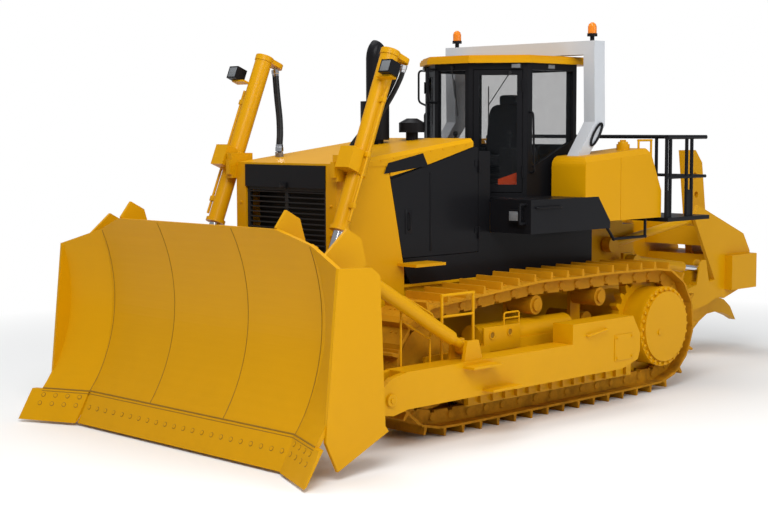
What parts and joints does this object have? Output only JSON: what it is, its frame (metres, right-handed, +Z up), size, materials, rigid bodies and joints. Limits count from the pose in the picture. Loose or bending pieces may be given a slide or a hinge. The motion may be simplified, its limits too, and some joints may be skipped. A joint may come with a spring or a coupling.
{
  "type": "bulldozer",
  "caption": "Large crawler bulldozer with a semi-U blade, paired lift rams, hexagonal cab under a roll-over frame, and a raised rear ripper with a single shank.",
  "frame": {"origin": "middle of the footprint box on the ground, under the tracks", "axes": "+X forward towards the blade, +Y to the machine left, +Z up"},
  "size_m": [10.6026, 4.686, 4.44],
  "materials": {
    "amber": "clear amber",
    "chrome": "polished",
    "dark": "satin",
    "fabric": "woven",
    "glass": "clear",
    "grey": "satin",
    "paint": "gloss",
    "steel": "worn",
    "track": "worn",
    "trim": "matte"
  },
  "bodies": {
    "chassis": {"main_frame": "paint", "engine_block": "steel", "radiator_guard": "paint", "nose_band": "dark", "grille": "dark", "engine_hood": "paint", "side_skirts": "dark", "exhaust_stack": "dark", "precleaner": "dark", "platform": "dark", "side_tanks": "paint", "cab_frame": "dark", "cab_roof": "paint", "cab_glass": "glass", "seat": "fabric", "consoles": "trim", "rops_frame": "grey", "lamp_bodies": "dark", "beacons": "amber", "rear_deck": "dark", "rear_rails": "dark", "lift_yokes": "paint", "cross_shafts": "steel", "track_frames": "paint", "track_left": "track", "track_right": "track", "sprockets": "paint", "idlers": "steel", "track_rollers": "steel", "hose_blocks": "steel", "hoses_left": "trim", "hoses_right": "trim"},
    "push_arms": {"push_arm_left": "paint", "push_arm_right": "paint", "arm_steps": "paint"},
    "blade": {"blade": "paint", "cutting_edges": "steel"},
    "lift_tube_left": {"lift_tube_left": "paint", "lift_lamp_left": "dark"},
    "lift_tube_right": {"lift_tube_right": "paint", "lift_lamp_right": "dark"},
    "lift_rod_left": {"lift_rod_left": "chrome"},
    "lift_rod_right": {"lift_rod_right": "chrome"},
    "tilt_tubes": {"tilt_tubes": "paint"},
    "tilt_rods": {"tilt_rods": "paint"},
    "ripper_arms": {"ripper_arms": "paint"},
    "ripper_links": {"ripper_links": "paint"},
    "ripper_carriage": {"ripper_carriage": "paint", "ripper_shank": "paint"},
    "ripper_tubes": {"ripper_tubes": "paint"},
    "ripper_rods": {"ripper_rods": "chrome"},
    "engine_door_left": {"engine_door_left": "dark"},
    "engine_door_right": {"engine_door_right": "dark"},
    "cab_door_left": {"cab_door_left": "dark", "door_glass_left": "glass"},
    "cab_door_right": {"cab_door_right": "dark", "door_glass_right": "glass"}
  },
  "joints": [
    {"name": "blade_lift", "type": "hinge", "parent": "chassis", "child": "push_arms", "pos_m": [-0.09132, 0, 0.7], "axis": [0, -1, 0], "range_deg": [-7, 15]},
    {"name": "blade_pitch", "type": "hinge", "parent": "push_arms", "child": "blade", "pos_m": [3.79868, 0, 0.58], "axis": [0, 1, 0], "range_deg": [-5, 5]},
    {"name": "lift_swing_left", "type": "hinge", "parent": "chassis", "child": "lift_tube_left", "pos_m": [3.32868, 1, 2.83], "axis": [0, -1, 0], "range_deg": [-6, 12], "deforming": ["hoses_left"]},
    {"name": "lift_stroke_left", "type": "slide", "parent": "lift_tube_left", "child": "lift_rod_left", "axis": [0.375, 0, -0.927], "range_m": [-1.06, 0.5]},
    {"name": "lift_swing_right", "type": "hinge", "parent": "chassis", "child": "lift_tube_right", "pos_m": [3.32868, -1, 2.83], "axis": [0, -1, 0], "range_deg": [-6, 12], "deforming": ["hoses_right"]},
    {"name": "lift_stroke_right", "type": "slide", "parent": "lift_tube_right", "child": "lift_rod_right", "axis": [0.375, 0, -0.927], "range_m": [-1.06, 0.5]},
    {"name": "tilt_swing", "type": "hinge", "parent": "blade", "child": "tilt_tubes", "pos_m": [4.17868, 0, 1.88], "axis": [0, 1, 0], "range_deg": [-2.6, 2.6]},
    {"name": "tilt_stroke", "type": "slide", "parent": "tilt_tubes", "child": "tilt_rods", "axis": [-0.8673, 0, -0.4979], "range_m": [-0.085, 0.085]},
    {"name": "ripper_lift", "type": "hinge", "parent": "chassis", "child": "ripper_arms", "pos_m": [-1.69132, 0, 0.7], "axis": [0, 1, 0], "range_deg": [-42, 0]},
    {"name": "ripper_level", "type": "hinge", "parent": "ripper_arms", "child": "ripper_carriage", "pos_m": [-3.54049, 0, 0.95002], "axis": [0, 1, 0], "range_deg": [-0.5, 42.5]},
    {"name": "ripper_link_swing", "type": "hinge", "parent": "chassis", "child": "ripper_links", "pos_m": [-1.61132, 0, 1.71], "axis": [0, 1, 0], "range_deg": [-42.5, 0.5]},
    {"name": "ripper_ram_swing", "type": "hinge", "parent": "chassis", "child": "ripper_tubes", "pos_m": [-1.84132, 0, 1.5], "axis": [0, 1, 0], "range_deg": [-38, 0.5]},
    {"name": "ripper_ram_stroke", "type": "slide", "parent": "ripper_tubes", "child": "ripper_rods", "axis": [-0.9907, 0, -0.136], "range_m": [-0.01, 0.58]},
    {"name": "engine_door_left_hinge", "type": "hinge", "parent": "chassis", "child": "engine_door_left", "pos_m": [1.25968, 0.811, 2.2], "axis": [0, 0, 1], "range_deg": [0, 85]},
    {"name": "cab_door_left_hinge", "type": "hinge", "parent": "chassis", "child": "cab_door_left", "pos_m": [0.47234, 0.78026, 3.1], "axis": [0, 0, 1], "range_deg": [0, 110]},
    {"name": "engine_door_right_hinge", "type": "hinge", "parent": "chassis", "child": "engine_door_right", "pos_m": [1.25968, -0.811, 2.2], "axis": [0, 0, -1], "range_deg": [0, 85]},
    {"name": "cab_door_right_hinge", "type": "hinge", "parent": "chassis", "child": "cab_door_right", "pos_m": [0.47234, -0.78026, 3.1], "axis": [0, 0, -1], "range_deg": [0, 110]}
  ],
  "couplings": [
    {"joint": "lift_swing_left", "follows": "blade_lift", "ratio": 0.75},
    {"joint": "lift_stroke_left", "follows": "blade_lift", "m_per_rad": -3.98},
    {"joint": "lift_swing_right", "follows": "blade_lift", "ratio": 0.75},
    {"joint": "lift_stroke_right", "follows": "blade_lift", "m_per_rad": -3.98},
    {"joint": "tilt_swing", "follows": "blade_pitch", "ratio": -0.478},
    {"joint": "tilt_stroke", "follows": "blade_pitch", "m_per_rad": 0.917},
    {"joint": "ripper_level", "follows": "ripper_lift", "ratio": -1},
    {"joint": "ripper_link_swing", "follows": "ripper_lift", "ratio": 1},
    {"joint": "ripper_ram_swing", "follows": "ripper_lift", "ratio": 0.888},
    {"joint": "ripper_ram_stroke", "follows": "ripper_lift", "m_per_rad": -0.772}
  ]
}
